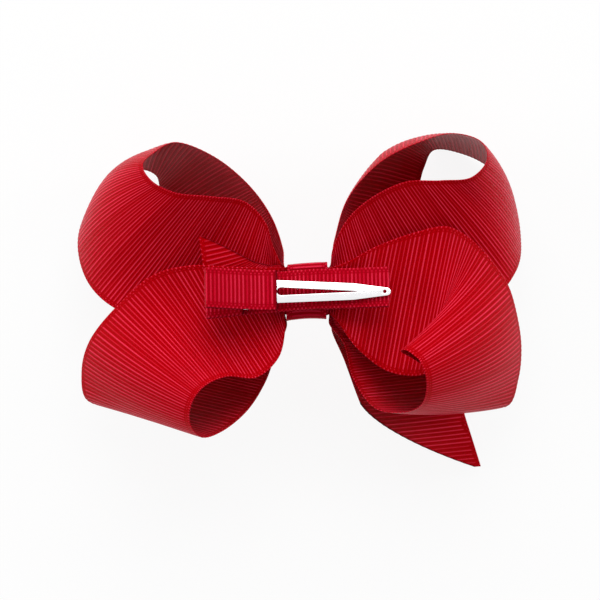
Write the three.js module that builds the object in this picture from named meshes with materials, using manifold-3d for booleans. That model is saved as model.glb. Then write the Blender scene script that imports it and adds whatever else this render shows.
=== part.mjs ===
// A hair bow: one wide grosgrain ribbon folded into four loops and two cut tails, gathered at the
// waist, bound with a narrow ribbon and glued to a sprung hair clip. Millimetres, +Z up.
// The bow lies on its loops with the clip uppermost. Everything is first placed about the centre
// of the waist, and the finished group then moves so that the origin is under its middle.

import * as THREE from 'three';
import { mergeVertices } from 'three/addons/utils/BufferGeometryUtils.js';
import Module from 'manifold-3d';

const wasm = await Module();
wasm.setup();

// ---- driving sizes ----
const ribbonThickness = 0.5;       // the wide ribbon
const seamGap = 0.6;               // half the gap between the left and right halves at the waist
const waistHalfHeight = 5.9;       // the gathered ribbon, across the waist
const layerPitch = 1.2;            // from one gathered layer to the next
const pleatDepth = 0.35;           // of the folds in each gathered layer
const pleatCount = 2;
const alongSteps = 34;             // faces along each loop
const acrossSteps = 8;             // faces across the ribbon
const touchGap = 0.3;              // between pieces that touch

const threadRadius = 0.2;
const threadTurns = 2;
const threadPitch = 0.9;

const wrapWidth = 10;              // the narrow ribbon wound round the waist
const wrapThickness = 0.45;
const wrapCorner = 1.3;
const throatRoom = 0.4;            // the ribbon starts to spread this far outside the wrap

const clipLength = 45.3;           // over the steel, from lever end to tip
const pivotFromLeverEnd = 15;
const clipWidth = 7.6;
const clipRoll = THREE.MathUtils.degToRad(-10);
const clipYaw = THREE.MathUtils.degToRad(0.8);
const clipPivotX = -9.5;           // where the pivot lies along the bow
const clipCentreY = -1;
const clipHeight = 6.3;            // underside of the lined jaw over the waist's centre
const jawSteel = 0.5;
const prongSteel = 0.6;
const earThickness = 0.5;
const earHalfLength = 2;
const earTop = 1.15;               // from the pin's axis to the end of an ear
const earChamfer = 0.5;
const jawEarOffset = 3.65;
const prongEarOffset = 2.7;
const pinRadius = 0.6;
const pinLength = 8.8;
const pinClearance = 0.12;
const springRadius = 1.2;          // of the coil's centre line
const springWire = 0.28;
const springTurns = 3;
const springPitch = 0.9;
const springLeg = 5.5;
const liningWidth = 10;
const liningThickness = 0.4;
const prongRootWidth = 5.75;
const prongTipWidth = 2;
const prongSlotWidth = 2;
const prongSlotLength = 19.6;
const prongHoleRadius = 0.45;
const leverRise = THREE.MathUtils.degToRad(21.8);

const ribbonRed = 0xc1102a;
const liningRed = 0xb80f27;
const steelGrey = 0xdcdcdf;
const glueWhite = 0xe9e3d8;
const threadRed = 0x9c0d1e;

// ---- the wide ribbon ----
// Each stretch is a list of stations along the ribbon. A station gives the ends of one of its cross
// threads, [inner end, outer end], about the waist's centre, how far the ribbon bulges there, and,
// where the inner edge folds over itself, how far that edge overhangs. The stations between the
// first and last are written for a ribbon that leaves the wrap at x = tableExit, and they move
// outwards with the wrap's edge.
const tableExit = 5.4;
const h = waistHalfHeight;
const g = seamGap;
const layer = (n) => n * layerPitch;

const upperLeft = {
  outward: -1,
  stations: [
    [[-g, h, layer(-1)], [-g, -h, layer(-1)], 0],
    [[-8.2, 10.5, -1.5], [-9.0, -6.8, -3.6], 0],
    [[-10.3, 17.0, 0.5], [-17.5, -8, -6], -1],
    [[-15.5, 22.3, 2.5], [-31, -8, -9], -2],
    [[-24, 23.6, 4], [-46, -5.5, -10], -1],
    [[-33, 24.6, 5], [-55.2, 2, -17.5], 2],
    [[-38.8, 27.6, 4.5], [-58, 14, -26], 3],
    [[-41, 31.5, 2.5], [-53, 24.5, -31], 3],
    [[-38, 34.8, 0], [-43.5, 31, -34.5], 2],
    [[-33, 37.2, -2.5], [-38.5, 29.5, -35], 2],
    [[-23.5, 33.8, -4], [-37, 24.5, -34], 2],
    [[-14.5, 26.5, -5], [-31.5, 18, -32], 2],
    [[-8.8, 18.5, -5], [-20, 9, -22], 0],
    [[-6.0, 10.5, -3.6], [-9, -3.5, -9.5], 0],
    [[-g, h, layer(-2)], [-g, -h, layer(-2)], 0],
  ],
};

const upperRight = {
  outward: 1,
  stations: [
    [[g, h, layer(0)], [g, -h, layer(0)], 0],
    [[6.4, 10.5, 0.0], [9, -6.8, -2.4], 0],
    [[9.8, 17.5, 1.5], [17.5, -8, -5], -1],
    [[15.5, 22.9, 3], [31.5, -6.5, -9], -2],
    [[24.5, 27.2, 4.5], [46, -2.5, -10.5], -1],
    [[33.5, 27.6, 5], [52.8, 5, -17.5], 2],
    [[41, 28.4, 5], [54.3, 13, -26.5], 2],
    [[45.0, 33.0, 3], [52.2, 24, -32], 1.5],
    [[43.5, 37.3, 0.5], [46.5, 31.5, -34.5], 1],
    [[36.5, 39.4, -2], [39.8, 35, -36], 1.5],
    [[28.5, 37.4, -4], [32.5, 36, -36], 2.5],
    [[18.3, 32.2, -5], [29.9, 31.5, -33], 5],
    [[10.3, 23.2, -5.5], [26.5, 20, -28], 6],
    [[6.8, 12.5, -2.7], [12, 3, -6.6], 1],
    [[g, h, layer(-1)], [g, -h, layer(-1)], 0],
  ],
};

const lowerLeft = {
  outward: 1,
  stations: [
    [[-g, -h, layer(2)], [-g, h, layer(2)], 0],
    [[-5.4, -9.5, 3.4], [-10, 5.8, 3.0], 0],
    [[-7.0, -16.5, 5.5], [-19, 6.0, 3.0], -1.5],
    [[-12.5, -21.5, 8.5], [-29, 6.4, 2.5], -3.5],
    [[-20, -21.3, 11], [-38.5, 4.0, -2], -3],
    [[-25.6, -23.8, 13], [-47, -3, -7.5], 0],
    [[-28.6, -28.0, 12.5], [-54.8, -12.5, -14], 2],
    [[-29.0, -33.0, 10], [-57, -20.5, -19.5], 1.5],
    [[-26.2, -36.4, 7], [-55.8, -27.5, -23], 0],
    [[-21.5, -35.2, 3.5], [-48.5, -29, -25], 0],
    [[-15, -30, 0.5], [-41, -24.5, -23.5], 0],
    [[-10.4, -22.8, -1], [-31, -18.5, -17], 0],
    [[-7.4, -14.5, -0.6], [-19, -13, -8], 0],
    [[-5.0, -8.6, 0], [-9, -7.4, -1], 0],
    [[-g, -h, layer(0)], [-g, h, layer(0)], 0],
  ],
};

const lowerRight = {
  outward: -1,
  stations: [
    [[g, -h, layer(2)], [g, h, layer(2)], 0],
    [[7.2, -7.2, 2.8], [9.5, 7.0, 2.6], 0],
    [[12.2, -14, 2.8], [17, 11.0, 1.9], -1],
    [[20, -20, 2.2], [26.5, 14.5, 1.5], -2],
    [[27, -21.2, 3.0], [34.5, 16.2, 0.5], -1],
    [[29, -20, 6.5], [38.5, 14.8, -2.5], 0, [1.5, 0, -1]],
    [[29, -18.5, 10], [42, 12.3, -5], 0, [-2.5, 1.5, -1]],
    [[28.5, -17.3, 13], [45, 9.3, -7.3], 0.5, [-5.3, 2.3, -0.5]],
    [[28, -16.5, 15.2], [47.7, 6, -9.5], 1, [-3.2, 1.7, 0]],
    [[28.2, -17, 16.3], [50.8, 1.2, -12], 2, [-0.5, 0, 0]],
    [[29.3, -20.8, 16], [53, -6, -15.5], 3],
    [[29.5, -25, 13.5], [54.2, -14, -18.8], 3],
    [[28.3, -28.3, 10.5], [53.6, -22, -22], 2],
    [[24.5, -30.1, 7], [51, -29, -24.5], 1],
    [[17, -29.2, 2.5], [42, -28.0, -24], 1],
    [[11.6, -22.0, -0.5], [33, -19.5, -17], 0],
    [[9.2, -13.2, -0.4], [20, -13, -8], 0],
    [[5.5, -8.2, 1.2], [9.5, -7.4, 0.4], 0],
    [[g, -h, layer(1)], [g, h, layer(1)], 0],
  ],
};

// A tail's cut runs from the share cutInner of its length at the inner edge to its far end.
const lowerRightTail = {
  outward: -1,
  cutInner: 0.7,
  cutBend: 0.65,
  stations: [
    [[g, -h, layer(-2)], [g, h, layer(-2)], 0],
    [[6.4, -10.5, -4.2], [10, -6, -12.4], 0],
    [[9.2, -17, -5.2], [27, -11, -23], 0],
    [[12.5, -26, -7.5], [37.5, -24, -31], -2],
    [[16.5, -36, -8], [41.0, -34, -33], -2],
    [[20.5, -46, -9], [44.6, -45.4, -34], -2],
  ],
};

const upperLeftTail = {
  outward: 1,
  cutInner: 0.25,
  cutBend: 0.5,
  stations: [
    [[-g, h, layer(1)], [-g, -h, layer(1)], 0],
    [[-6.3, 6.8, 1.9], [-10, -8.6, 1.6], 0],
    [[-7.4, 8.5, 1.6], [-20, -9.2, 0], 0],
    [[-6, 11, 1.8], [-25.5, -2, -0.2], 0],
    [[-1, 13, 2], [-26, 6, 0.8], 0],
    [[2, 19, 2.5], [-27, 14, 1.6], 0],
  ],
};

const smoothStep = (x) => x * x * (3 - 2 * x);

// The ribbon's middle surface as a function of t along it and w across it, both from 0 to 1.
function ribbonSurface({ stations: table, outward, cutInner = 1, cutBend = 1 }) {
  const isTail = cutInner < 1;
  const first = table[0];
  const final = table[table.length - 1];
  const side = Math.sign(first[0][0]);
  const exitX = wrapWidth / 2 + throatRoom;
  const exits = ([a, b, bulge]) => [[side * exitX, a[1], a[2]], [side * exitX, b[1], b[2]], bulge];
  const outwards = ([x, y, z]) => [x + side * (exitX - tableExit), y, z];
  const free = table.slice(1, isTail ? undefined : -1)
    .map(([a, b, ...rest]) => [outwards(a), outwards(b), ...rest]);
  const stations = [first, exits(first), ...free];
  if (!isTail) {
    stations.push(exits(final), final);
  }
  const curveOf = (pick) => new THREE.CatmullRomCurve3(
    stations.map((station) => new THREE.Vector3(...pick(station))),
  );
  const inner = curveOf(([a]) => a);
  const outer = curveOf(([, b]) => b);
  const bulge = curveOf(([, , k]) => [k, 0, 0]);
  const overhang = curveOf(([, , , o = [0, 0, 0]]) => o);
  const last = stations.length - 1;
  const middleAt = (t) => inner.getPoint(t).add(outer.getPoint(t)).multiplyScalar(0.5);
  return (u, w) => {
    const t = u * (cutInner + (1 - cutInner) * w ** cutBend);
    const a = inner.getPoint(t);
    const b = outer.getPoint(t);
    const ahead = middleAt(Math.min(t + 0.003, 1)).sub(middleAt(Math.max(t - 0.003, 0)));
    const normal = b.clone().sub(a).cross(ahead).normalize();
    const bulgeHere = outward * bulge.getPoint(t).x * 4 * w * (1 - w);
    const point = a.lerp(b, w).addScaledVector(normal, bulgeHere);
    point.addScaledVector(overhang.getPoint(t), (1 - w) ** 2);
    const stationsAway = isTail ? t * last : Math.min(t, 1 - t) * last;
    const gather = smoothStep(Math.max(0, Math.min(1, 2 - stationsAway / 1.2)));
    point.z += pleatDepth * gather * Math.cos(2 * Math.PI * pleatCount * w);
    return point;
  };
}

// A closed solid of even thickness about a surface given as a grid of points.
function sheetSolid(surface, thickness, uSteps, wSteps) {
  const positions = [];
  const index = [];
  const step = 1e-3;
  const rows = uSteps + 1;
  const columns = wSteps + 1;
  for (const side of [1, -1]) {
    for (let i = 0; i < rows; i += 1) {
      for (let j = 0; j < columns; j += 1) {
        const u = i / uSteps;
        const w = j / wSteps;
        const p = surface(u, w);
        const du = surface(Math.min(u + step, 1), w).sub(surface(Math.max(u - step, 0), w));
        const dw = surface(u, Math.min(w + step, 1)).sub(surface(u, Math.max(w - step, 0)));
        p.addScaledVector(du.cross(dw).normalize(), side * thickness / 2);
        positions.push(p.x, p.y, p.z);
      }
    }
  }
  const at = (side, i, j) => side * rows * columns + i * columns + j;
  const quad = (a, b, c, d) => index.push(a, b, c, a, c, d);
  for (let i = 0; i < uSteps; i += 1) {
    for (let j = 0; j < wSteps; j += 1) {
      quad(at(0, i, j), at(0, i + 1, j), at(0, i + 1, j + 1), at(0, i, j + 1));
      quad(at(1, i, j), at(1, i, j + 1), at(1, i + 1, j + 1), at(1, i + 1, j));
    }
    quad(at(0, i + 1, 0), at(0, i, 0), at(1, i, 0), at(1, i + 1, 0));
    quad(at(0, i, wSteps), at(0, i + 1, wSteps), at(1, i + 1, wSteps), at(1, i, wSteps));
  }
  for (let j = 0; j < wSteps; j += 1) {
    quad(at(0, uSteps, j + 1), at(0, uSteps, j), at(1, uSteps, j), at(1, uSteps, j + 1));
    quad(at(0, 0, j), at(0, 0, j + 1), at(1, 0, j + 1), at(1, 0, j));
  }
  const geometry = new THREE.BufferGeometry();
  geometry.setAttribute('position', new THREE.Float32BufferAttribute(positions, 3));
  geometry.setIndex(index);
  return geometry;
}

// ---- small helpers ----
const fabric = (colour) => new THREE.MeshStandardMaterial({ color: colour, roughness: 0.75, metalness: 0 });
const steel = () => new THREE.MeshStandardMaterial({ color: steelGrey, roughness: 0.25, metalness: 1 });

function named(name, geometry, material) {
  const mesh = new THREE.Mesh(geometry, material);
  mesh.name = name;
  return mesh;
}

function toManifold(geometry) {
  const bare = geometry.clone();
  bare.deleteAttribute('normal');
  bare.deleteAttribute('uv');
  const merged = mergeVertices(bare, 1e-4);
  const vertProperties = new Float32Array(merged.attributes.position.array);
  const triVerts = new Uint32Array(merged.index.array);
  return new wasm.Manifold(new wasm.Mesh({ numProp: 3, vertProperties, triVerts }));
}

function fromManifold(solid) {
  const mesh = solid.getMesh();
  const geometry = new THREE.BufferGeometry();
  geometry.setAttribute('position', new THREE.BufferAttribute(mesh.vertProperties, 3));
  geometry.setIndex(new THREE.BufferAttribute(mesh.triVerts, 1));
  return geometry;
}

// A strip of even thickness along a side-view path of (x, z) points, as wide as given along Y.
function stripAlong(path, thickness, width) {
  const left = [];
  const right = [];
  path.forEach((p, i) => {
    const before = path[Math.max(i - 1, 0)];
    const after = path[Math.min(i + 1, path.length - 1)];
    const into = p.clone().sub(before).normalize();
    const out = after.clone().sub(p).normalize();
    const along = into.clone().add(out).normalize();
    const turn = Math.max(along.dot(out), along.dot(into));
    const across = new THREE.Vector2(-along.y, along.x).multiplyScalar(thickness / 2 / turn);
    left.push(p.clone().add(across));
    right.unshift(p.clone().sub(across));
  });
  return sideExtrude(new THREE.Shape([...left, ...right]), width);
}

// Extrudes a side-view shape of (x, z) points along Y, centred on y = 0.
function sideExtrude(shape, width, y = 0) {
  const geometry = new THREE.ExtrudeGeometry(shape, { depth: width, bevelEnabled: false, curveSegments: 10 });
  geometry.translate(0, 0, -width / 2);
  geometry.rotateX(Math.PI / 2);
  geometry.translate(0, y, 0);
  return geometry;
}

function arcPoints(x, z, radius, from, to, steps) {
  return Array.from({ length: steps + 1 }, (_, i) => {
    const angle = from + (to - from) * i / steps;
    return new THREE.Vector2(x + radius * Math.cos(angle), z + radius * Math.sin(angle));
  });
}

function roundedRing(halfY, halfZ, corner) {
  const shape = new THREE.Shape();
  shape.moveTo(halfY - corner, -halfZ);
  shape.absarc(halfY - corner, corner - halfZ, corner, -Math.PI / 2, 0);
  shape.absarc(halfY - corner, halfZ - corner, corner, 0, Math.PI / 2);
  shape.absarc(corner - halfY, halfZ - corner, corner, Math.PI / 2, Math.PI);
  shape.absarc(corner - halfY, corner - halfZ, corner, Math.PI, Math.PI * 1.5);
  return shape;
}

// ---- waist ----
const waistHalfDepth = layer(2) + pleatDepth + ribbonThickness / 2 + touchGap;
const threadHalfY = waistHalfHeight + touchGap + threadRadius;
const threadHalfZ = waistHalfDepth + threadRadius;
const wrapInnerY = threadHalfY + threadRadius + touchGap / 2;
const wrapInnerZ = threadHalfZ + threadRadius + touchGap / 2;

class ThreadCurve extends THREE.Curve {
  constructor() {
    super();
    this.section = roundedRing(threadHalfY, threadHalfZ, wrapCorner - wrapThickness);
    this.section.closePath();
  }

  getPoint(t) {
    const turns = t * (threadTurns - 0.1);
    const p = this.section.getPointAt(turns % 1);
    return new THREE.Vector3((turns - threadTurns / 2) * threadPitch, p.x, p.y);
  }
}

function buildThread() {
  const section = new THREE.Shape();
  section.absarc(0, 0, threadRadius, 0, Math.PI * 2);
  return new THREE.ExtrudeGeometry(section, {
    steps: 64, extrudePath: new ThreadCurve(), curveSegments: 3, bevelEnabled: false,
  });
}

function buildWrap() {
  const outer = roundedRing(wrapInnerY + wrapThickness, wrapInnerZ + wrapThickness, wrapCorner);
  outer.holes.push(new THREE.Path(
    roundedRing(wrapInnerY, wrapInnerZ, wrapCorner - wrapThickness).getPoints(8),
  ));
  const geometry = new THREE.ExtrudeGeometry(outer, { depth: wrapWidth, bevelEnabled: false, curveSegments: 8 });
  geometry.translate(0, 0, -wrapWidth / 2);
  geometry.rotateY(Math.PI / 2);
  geometry.rotateX(Math.PI / 2);
  return geometry;
}

// ---- clip, about its pivot: +X to the tip, +Z up, z = 0 at the underside of the lined jaw ----
const tipX = clipLength - pivotFromLeverEnd;
const jawBottom = liningThickness + touchGap;
const jawTop = jawBottom + jawSteel;
const innerLiningTop = jawTop + touchGap + liningThickness;
const coilOuter = springRadius + springWire;
const pinZ = jawTop + touchGap + coilOuter;
const prongRootZ = pinZ + coilOuter + touchGap;
const prongTipZ = innerLiningTop + touchGap;
const prongSlope = Math.atan2(prongRootZ - prongTipZ, tipX);
const leverX = -1.6;               // where the prong bends up into its finger lever
const leverLength = (pivotFromLeverEnd + leverX) / Math.cos(leverRise);
const earClearance = earHalfLength + 0.6;

// A hinge ear from its plate at base to its free, chamfered end at tip.
function ear(offset, base, tip) {
  const chamfer = earChamfer * Math.sign(tip - base);
  const shape = new THREE.Shape();
  shape.moveTo(-earHalfLength, base);
  shape.lineTo(earHalfLength, base);
  shape.lineTo(earHalfLength, tip - chamfer);
  shape.lineTo(earHalfLength - earChamfer, tip);
  shape.lineTo(earChamfer - earHalfLength, tip);
  shape.lineTo(-earHalfLength, tip - chamfer);
  shape.closePath();
  const hole = new THREE.Path();
  hole.absarc(0, pinZ, pinRadius + pinClearance, 0, Math.PI * 2);
  shape.holes.push(hole);
  return sideExtrude(shape, earThickness, offset);
}

function buildJaw() {
  const outline = new THREE.Shape();
  const half = clipWidth / 2;
  outline.moveTo(-pivotFromLeverEnd, -half + 1);
  outline.lineTo(1 - pivotFromLeverEnd, -half);
  outline.lineTo(tipX - 6, -half);
  outline.lineTo(tipX - 1, -half + 2);
  outline.lineTo(tipX - 1, half - 2);
  outline.lineTo(tipX - 6, half);
  outline.lineTo(1 - pivotFromLeverEnd, half);
  outline.lineTo(-pivotFromLeverEnd, half - 1);
  const plate = new THREE.ExtrudeGeometry(outline, { depth: jawSteel, bevelEnabled: false });
  plate.translate(0, 0, jawBottom);
  let solid = toManifold(plate);
  for (const side of [1, -1]) {
    const offset = side * (jawEarOffset - earThickness / 2);
    solid = solid.add(toManifold(ear(offset, jawBottom + jawSteel / 2, pinZ + earTop)));
  }
  return fromManifold(solid);
}

function buildProng() {
  const rootHalf = prongRootWidth / 2;
  const tipHalf = prongTipWidth / 2;
  const tipCentre = tipX - tipHalf;
  const outline = new THREE.Shape();
  outline.moveTo(leverX - 0.4, -rootHalf);
  outline.lineTo(2, -rootHalf);
  outline.lineTo(tipCentre * 0.72, -rootHalf * 0.72);
  outline.lineTo(tipCentre, -tipHalf);
  outline.absarc(tipCentre, 0, tipHalf, -Math.PI / 2, Math.PI / 2);
  outline.lineTo(tipCentre * 0.72, rootHalf * 0.72);
  outline.lineTo(2, rootHalf);
  outline.lineTo(leverX - 0.4, rootHalf);
  const slot = new THREE.Path();
  const slotStart = earHalfLength + prongSlotWidth / 2;
  slot.absarc(slotStart, 0, prongSlotWidth / 2, Math.PI / 2, Math.PI * 1.5);
  slot.lineTo(slotStart + prongSlotLength, 0);
  outline.holes.push(slot);
  const hole = new THREE.Path();
  hole.absarc(tipX - 1.5, 0, prongHoleRadius, 0, Math.PI * 2);
  outline.holes.push(hole);
  const blade = new THREE.ExtrudeGeometry(outline, { depth: prongSteel, bevelEnabled: false, curveSegments: 8 });
  blade.rotateY(prongSlope);
  blade.translate(0, 0, prongRootZ);

  const leverPath = [
    new THREE.Vector2(leverX + 0.4, prongRootZ + prongSteel / 2 - 0.4 * Math.tan(prongSlope) + 0.1),
    new THREE.Vector2(leverX - 0.3, prongRootZ + prongSteel / 2 + 0.25),
    new THREE.Vector2(
      leverX - leverLength * Math.cos(leverRise),
      prongRootZ + prongSteel / 2 + leverLength * Math.sin(leverRise),
    ),
  ];
  let solid = toManifold(blade).add(toManifold(stripAlong(leverPath, prongSteel, prongRootWidth)));
  for (const side of [1, -1]) {
    const offset = side * (prongEarOffset - earThickness / 2);
    const prongEar = ear(offset, prongRootZ + prongSteel / 2, pinZ - earTop);
    solid = solid.add(toManifold(prongEar));
  }
  return fromManifold(solid);
}

const liningRoll = prongSteel / 2 + touchGap + liningThickness / 2;

function buildProngLining() {
  const top = prongRootZ + prongSteel + touchGap + liningThickness / 2;
  const bend = new THREE.Vector2(leverX, prongRootZ + prongSteel / 2);
  const along = new THREE.Vector2(-Math.cos(leverRise), Math.sin(leverRise));
  const up = new THREE.Vector2(Math.sin(leverRise), Math.cos(leverRise));
  const end = bend.clone().addScaledVector(along, leverLength);
  const above = (p) => p.clone().addScaledVector(up, liningRoll);
  const below = (p) => p.clone().addScaledVector(up, -liningRoll);
  const path = [
    new THREE.Vector2(earHalfLength - 0.4, top - Math.tan(prongSlope) * (earHalfLength - 0.4)),
    above(bend).add(new THREE.Vector2(0, 0.3)),
    above(end),
    ...arcPoints(end.x, end.y, liningRoll, Math.PI / 2 - leverRise, Math.PI * 1.5 - leverRise, 6).slice(1, -1),
    below(end),
    below(bend.clone().addScaledVector(along, springLeg)),
  ];
  return stripAlong(path, liningThickness, liningWidth);
}

function buildJawLining() {
  const middle = jawBottom + jawSteel / 2;
  const roll = jawSteel / 2 + touchGap + liningThickness / 2;
  const leftEnd = -pivotFromLeverEnd;
  const rightEnd = tipX - 1;
  const path = [
    new THREE.Vector2(earClearance, middle + roll),
    ...arcPoints(rightEnd, middle, roll, Math.PI / 2, -Math.PI / 2, 6),
    ...arcPoints(leftEnd, middle, roll, -Math.PI / 2, -Math.PI * 1.5, 6),
    new THREE.Vector2(-springLeg - 1, middle + roll),
  ];
  return stripAlong(path, liningThickness, liningWidth);
}

function buildPin() {
  return new THREE.CylinderGeometry(pinRadius, pinRadius, pinLength, 16).translate(0, 0, pinZ);
}

class SpringCurve extends THREE.Curve {
  getPoint(t) {
    const coil = 2 * Math.PI * (springTurns + 0.5) * springRadius;
    const s = t * (coil + 2 * springLeg);
    const span = (springTurns + 0.5) * springPitch;
    if (s < springLeg) {
      return new THREE.Vector3(s - springLeg, -span / 2, pinZ - springRadius);
    }
    if (s < springLeg + coil) {
      const angle = (s - springLeg) / springRadius;
      const y = -span / 2 + span * (s - springLeg) / coil;
      return new THREE.Vector3(springRadius * Math.sin(angle), y, pinZ - springRadius * Math.cos(angle));
    }
    const out = s - springLeg - coil;
    const rise = out * out / springLeg * Math.tan(leverRise) * 0.6;
    return new THREE.Vector3(-out, span / 2, pinZ + springRadius + rise);
  }
}

function buildSpring() {
  const section = new THREE.Shape();
  section.absarc(0, 0, springWire, 0, Math.PI * 2);
  return new THREE.ExtrudeGeometry(section, {
    steps: 76, extrudePath: new SpringCurve(), curveSegments: 3, bevelEnabled: false,
  });
}

function buildGlue(x) {
  const geometry = new THREE.SphereGeometry(1, 12, 8);
  geometry.scale(1.9, 4.6, 0.3);
  geometry.translate(x, 0, -touchGap - 0.3);
  return geometry;
}

// ---- assembly ----
const group = new THREE.Group();
const bow = new THREE.Group();
group.add(bow);

const stretches = {
  upper_left_loop: upperLeft,
  upper_right_loop: upperRight,
  lower_left_loop: lowerLeft,
  lower_right_loop: lowerRight,
};
for (const [name, stretch] of Object.entries(stretches)) {
  const solid = sheetSolid(ribbonSurface(stretch), ribbonThickness, alongSteps, acrossSteps);
  bow.add(named(name, solid, fabric(ribbonRed)));
}
for (const [name, stretch] of Object.entries({
  lower_right_tail: lowerRightTail,
  upper_left_tail: upperLeftTail,
})) {
  const solid = sheetSolid(ribbonSurface(stretch), ribbonThickness, alongSteps / 2, acrossSteps);
  bow.add(named(name, solid, fabric(ribbonRed)));
}
bow.add(named('gathering_thread', buildThread(), fabric(threadRed)));
bow.add(named('centre_wrap', buildWrap(), fabric(ribbonRed)));

const clip = new THREE.Group();
clip.position.set(clipPivotX, clipCentreY, clipHeight);
clip.rotation.set(clipRoll, 0, clipYaw);
bow.add(clip);
const glue = new THREE.MeshStandardMaterial({ color: glueWhite, roughness: 0.35, metalness: 0 });
clip.add(named('glue_pad_left', buildGlue(-clipPivotX - 2.3), glue));
clip.add(named('glue_pad_right', buildGlue(-clipPivotX + 2.3), glue.clone()));
clip.add(named('clip_jaw', buildJaw(), steel()));
clip.add(named('clip_prong', buildProng(), steel()));
clip.add(named('clip_pin', buildPin(), steel()));
clip.add(named('clip_spring', buildSpring(), steel()));
clip.add(named('jaw_lining', buildJawLining(), fabric(liningRed)));
clip.add(named('prong_lever_lining', buildProngLining(), fabric(liningRed)));

// The origin lies under the middle of the whole bow, on the plane it rests on.
group.updateMatrixWorld(true);
const bounds = new THREE.Box3().setFromObject(group, true);
const middle = bounds.getCenter(new THREE.Vector3());
bow.position.set(-middle.x, -middle.y, -bounds.min.z);

export default group;
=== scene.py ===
import math

import bmesh
import bpy
import numpy as np
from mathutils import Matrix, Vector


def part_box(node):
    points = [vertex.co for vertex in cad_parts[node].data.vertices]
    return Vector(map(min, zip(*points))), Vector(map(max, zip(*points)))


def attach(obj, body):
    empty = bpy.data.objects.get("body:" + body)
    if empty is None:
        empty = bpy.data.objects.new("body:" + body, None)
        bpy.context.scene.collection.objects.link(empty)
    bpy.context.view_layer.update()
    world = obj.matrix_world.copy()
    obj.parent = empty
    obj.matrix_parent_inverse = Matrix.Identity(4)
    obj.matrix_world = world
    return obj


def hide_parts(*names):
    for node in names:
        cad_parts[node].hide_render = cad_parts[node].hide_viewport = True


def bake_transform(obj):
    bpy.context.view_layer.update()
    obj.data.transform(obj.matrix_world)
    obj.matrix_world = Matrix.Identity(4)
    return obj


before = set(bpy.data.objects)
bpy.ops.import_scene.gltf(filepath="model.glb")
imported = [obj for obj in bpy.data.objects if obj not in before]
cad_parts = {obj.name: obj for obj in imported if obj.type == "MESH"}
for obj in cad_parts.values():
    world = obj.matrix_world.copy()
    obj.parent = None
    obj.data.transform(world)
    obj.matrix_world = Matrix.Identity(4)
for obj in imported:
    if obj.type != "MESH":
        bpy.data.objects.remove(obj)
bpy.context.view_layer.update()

# A hair bow of wide grosgrain ribbon with a lined metal clip, lying on its loops, clip uppermost.
# Shapes are worked out in millimetres about the middle of the gathered waist, then placed.

mm = 0.001
wrapLow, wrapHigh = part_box("centre_wrap")
waist = (np.array(wrapLow) + np.array(wrapHigh)) / 2


def place(points):
    return waist + np.asarray(points, float) * mm


def linearColour(code):
    parts = np.array([int(code[i:i + 2], 16) for i in (1, 3, 5)]) / 255
    linear = np.where(parts <= 0.04045, parts / 12.92, ((parts + 0.055) / 1.055) ** 2.4)
    return (*linear.tolist(), 1.0)


def addNode(tree, kind, inputs=None, **settings):
    node = tree.nodes.new(kind)
    for name, value in settings.items():
        setattr(node, name, value)
    for name, value in (inputs or {}).items():
        if isinstance(value, bpy.types.NodeSocket):
            tree.links.new(value, node.inputs[name])
        else:
            node.inputs[name].default_value = value
    return node


def newMaterial(name):
    material = bpy.data.materials.new(name)
    material.use_nodes = True
    material.node_tree.nodes.clear()
    return material, material.node_tree


# Rows of faces put into a mesh. faces is a list of arrays, each of faces with one number of corners.
def meshObject(name, points, faces, material, smooth=True):
    mesh = bpy.data.meshes.new(name)
    mesh.vertices.add(len(points))
    mesh.vertices.foreach_set("co", np.asarray(points, np.float32).ravel())
    corners = np.concatenate([f.ravel() for f in faces]).astype(np.int32)
    sizes = np.concatenate([np.full(len(f), f.shape[1]) for f in faces])
    mesh.loops.add(len(corners))
    mesh.loops.foreach_set("vertex_index", corners)
    mesh.polygons.add(len(sizes))
    mesh.polygons.foreach_set("loop_start", (np.cumsum(sizes) - sizes).astype(np.int32))
    mesh.polygons.foreach_set("use_smooth", np.full(len(sizes), smooth))
    mesh.update(calc_edges=True)
    mesh.validate()
    piece = bpy.data.objects.new(name, mesh)
    bpy.context.scene.collection.objects.link(piece)
    mesh.materials.append(material)
    return piece


def addNumbers(piece, name, values):
    attribute = piece.data.attributes.new(name, "FLOAT", "POINT")
    attribute.data.foreach_set("value", np.asarray(values, np.float32).ravel())


def addUv(piece, across, along):
    uv = np.stack([across.ravel(), along.ravel()], axis=1).astype(np.float32)
    corners = np.empty(len(piece.data.loops), np.int32)
    piece.data.loops.foreach_get("vertex_index", corners)
    layer = piece.data.uv_layers.new(name="weave")
    layer.data.foreach_set("uv", uv[corners].ravel())


def joinShapes(shapes):
    starts = np.cumsum([0] + [len(points) for points, _ in shapes])
    points = np.concatenate([points for points, _ in shapes])
    faces = [f + start for (_, some), start in zip(shapes, starts) for f in some]
    return points, faces


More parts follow.
